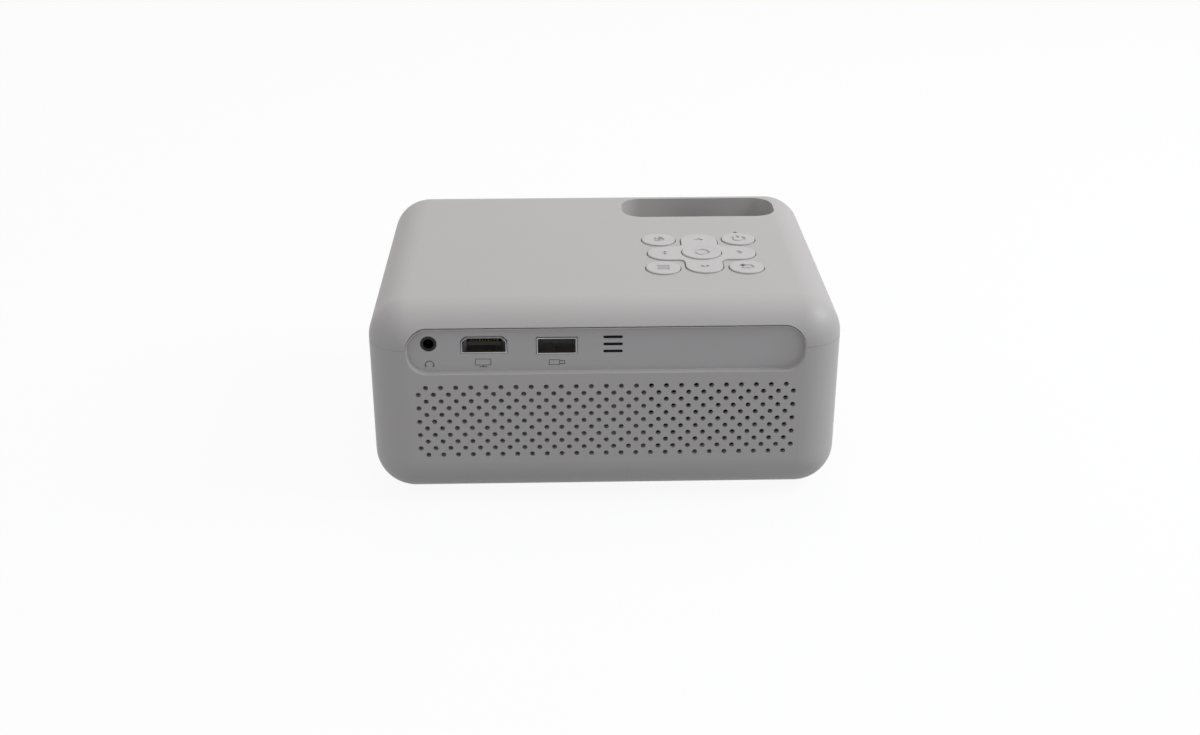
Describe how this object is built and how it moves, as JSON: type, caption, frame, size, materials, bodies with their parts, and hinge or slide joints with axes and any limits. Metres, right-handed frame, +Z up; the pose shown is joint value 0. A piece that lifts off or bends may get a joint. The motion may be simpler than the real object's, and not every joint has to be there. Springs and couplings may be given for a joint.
{
  "type": "disc-playing projector",
  "caption": "Compact rounded-box LED projector with a slide-out disc tray, top keypad, focus ring in a well, rear port panel and a field of grille holes.",
  "frame": {"origin": "on the table under the middle of the body, between the rubber feet", "axes": "+X right as seen from behind, +Y forward along the throw of the lens, +Z up"},
  "size_m": [0.161, 0.1286, 0.0724],
  "materials": {
    "shell_plastic": "fine matte texture",
    "panel_plastic": "fine matte",
    "key_plastic": "smooth satin",
    "black_plastic": "matte black",
    "rubber": "soft matte",
    "steel": "zinc-plated",
    "brass": "turned",
    "aluminium": "extruded",
    "board_green": "solder mask",
    "cloth": "woven",
    "silicone": "soft",
    "clear_lens": "polished",
    "mirror_glass": "front-silvered",
    "tray_plastic": "fine matte"
  },
  "bodies": {
    "housing": {"top_cover": "shell_plastic", "bottom_case": "shell_plastic", "port_panel": "panel_plastic", "lens_bezel": "black_plastic", "rubber_feet": "rubber", "case_screws": "steel", "tripod_bush": "brass", "speaker_cloth": "cloth", "keypad_board": "board_green", "keypad_switches": "black_plastic", "status_light": "clear_lens", "middle_frame": "black_plastic", "port_board": "board_green", "main_board": "board_green", "hdmi_socket": "steel", "usb_socket": "steel", "headphone_jack": "black_plastic", "infrared_receiver": "black_plastic", "power_inlet": "black_plastic", "small_screws": "steel", "engine_housing": "black_plastic", "engine_lid": "black_plastic", "led_heatsink": "aluminium", "led_module": "aluminium", "condenser_lens": "clear_lens", "light_funnel": "aluminium", "fold_mirror": "mirror_glass", "collimating_fresnel": "clear_lens", "display_panel": "clear_lens", "field_fresnel": "clear_lens", "lens_mount": "black_plastic", "fan_frame": "black_plastic", "speaker_frames": "black_plastic", "speaker_magnets": "steel", "drive_chassis": "steel", "drive_lid": "steel", "drive_board": "board_green"},
    "source_button": {"source_button": "key_plastic"},
    "power_button": {"power_button": "key_plastic"},
    "menu_button": {"menu_button": "key_plastic"},
    "back_button": {"back_button": "key_plastic"},
    "ok_button": {"ok_button": "key_plastic"},
    "nav_pivot": {"nav_pivot": "silicone"},
    "nav_pad": {"nav_pad": "key_plastic"},
    "focus_ring": {"focus_ring": "black_plastic"},
    "lens_barrel": {"lens_barrel": "black_plastic", "lens_elements": "clear_lens"},
    "fan_rotor": {"fan_rotor": "black_plastic"},
    "speaker_cones": {"speaker_cones": "black_plastic"},
    "tray_rails": {"tray_rails": "steel"},
    "disc_tray": {"disc_tray": "tray_plastic", "tray_bezel": "shell_plastic", "traverse_frame": "steel", "spindle_motor": "steel", "guide_rods": "steel", "feed_motor": "steel"},
    "spindle_hub": {"spindle_hub": "black_plastic"},
    "pickup_sled": {"pickup_sled": "black_plastic"},
    "feed_screw": {"feed_screw": "steel"},
    "eject_button": {"eject_button": "key_plastic"}
  },
  "joints": [
    {"name": "source_button_press", "type": "slide", "parent": "housing", "child": "source_button", "axis": [0, 0, -1], "range_m": [0, 0.0005], "stiffness_N_per_m": 800, "springref_m": -0.0005},
    {"name": "power_button_press", "type": "slide", "parent": "housing", "child": "power_button", "axis": [0, 0, -1], "range_m": [0, 0.0005], "stiffness_N_per_m": 800, "springref_m": -0.0005},
    {"name": "menu_button_press", "type": "slide", "parent": "housing", "child": "menu_button", "axis": [0, 0, -1], "range_m": [0, 0.0005], "stiffness_N_per_m": 800, "springref_m": -0.0005},
    {"name": "back_button_press", "type": "slide", "parent": "housing", "child": "back_button", "axis": [0, 0, -1], "range_m": [0, 0.0005], "stiffness_N_per_m": 800, "springref_m": -0.0005},
    {"name": "ok_button_press", "type": "slide", "parent": "housing", "child": "ok_button", "axis": [0, 0, -1], "range_m": [0, 0.0005], "stiffness_N_per_m": 800, "springref_m": -0.0005},
    {"name": "nav_pad_rock_front_back", "type": "hinge", "parent": "housing", "child": "nav_pivot", "pos_m": [0.036, -0.0115, 0.0657], "axis": [1, 0, 0], "range_deg": [-1, 1], "stiffness_Nm_per_rad": 0.7},
    {"name": "nav_pad_rock_left_right", "type": "hinge", "parent": "nav_pivot", "child": "nav_pad", "pos_m": [0.036, -0.0115, 0.0657], "axis": [0, 1, 0], "range_deg": [-1, 1], "stiffness_Nm_per_rad": 0.7},
    {"name": "focus_ring_turn", "type": "hinge", "parent": "housing", "child": "focus_ring", "pos_m": [0.0388, 0.03985, 0.0426], "axis": [0, 1, 0], "range_deg": [-75.1, 75.1]},
    {"name": "lens_focus_slide", "type": "slide", "parent": "housing", "child": "lens_barrel", "axis": [0, 1, 0], "range_m": [-0.0022, 0.0022]},
    {"name": "fan_spin", "type": "hinge", "parent": "housing", "child": "fan_rotor", "pos_m": [0.038, -0.051, 0.0424], "axis": [0, 1, 0], "continuous": true},
    {"name": "speaker_cone_travel", "type": "slide", "parent": "housing", "child": "speaker_cones", "axis": [0, 1, 0], "range_m": [-0.0004, 0.0004], "stiffness_N_per_m": 900},
    {"name": "tray_slide", "type": "slide", "parent": "housing", "child": "disc_tray", "axis": [0, 1, 0], "range_m": [0, 0.11]},
    {"name": "tray_rail_slide", "type": "slide", "parent": "housing", "child": "tray_rails", "axis": [0, 1, 0], "range_m": [0, 0.055]},
    {"name": "disc_spin", "type": "hinge", "parent": "disc_tray", "child": "spindle_hub", "pos_m": [0, 0, 0.015], "axis": [0, 0, 1], "continuous": true},
    {"name": "pickup_slide", "type": "slide", "parent": "disc_tray", "child": "pickup_sled", "axis": [0.7071, 0.7071, 0], "range_m": [0, 0.0335]},
    {"name": "feed_screw_turn", "type": "hinge", "parent": "disc_tray", "child": "feed_screw", "pos_m": [-0.00912, 0.00912, 0.0125], "axis": [0.7071, 0.7071, 0], "range_deg": [0, 4021]},
    {"name": "eject_button_press", "type": "slide", "parent": "disc_tray", "child": "eject_button", "axis": [0, -1, 0], "range_m": [0, 0.0008], "stiffness_N_per_m": 800, "springref_m": -0.0008}
  ],
  "couplings": [
    {"joint": "focus_ring_turn", "follows": "lens_focus_slide", "rad_per_m": 595},
    {"joint": "tray_rail_slide", "follows": "tray_slide", "ratio": 0.5},
    {"joint": "feed_screw_turn", "follows": "pickup_slide", "rad_per_m": 2094.4}
  ]
}
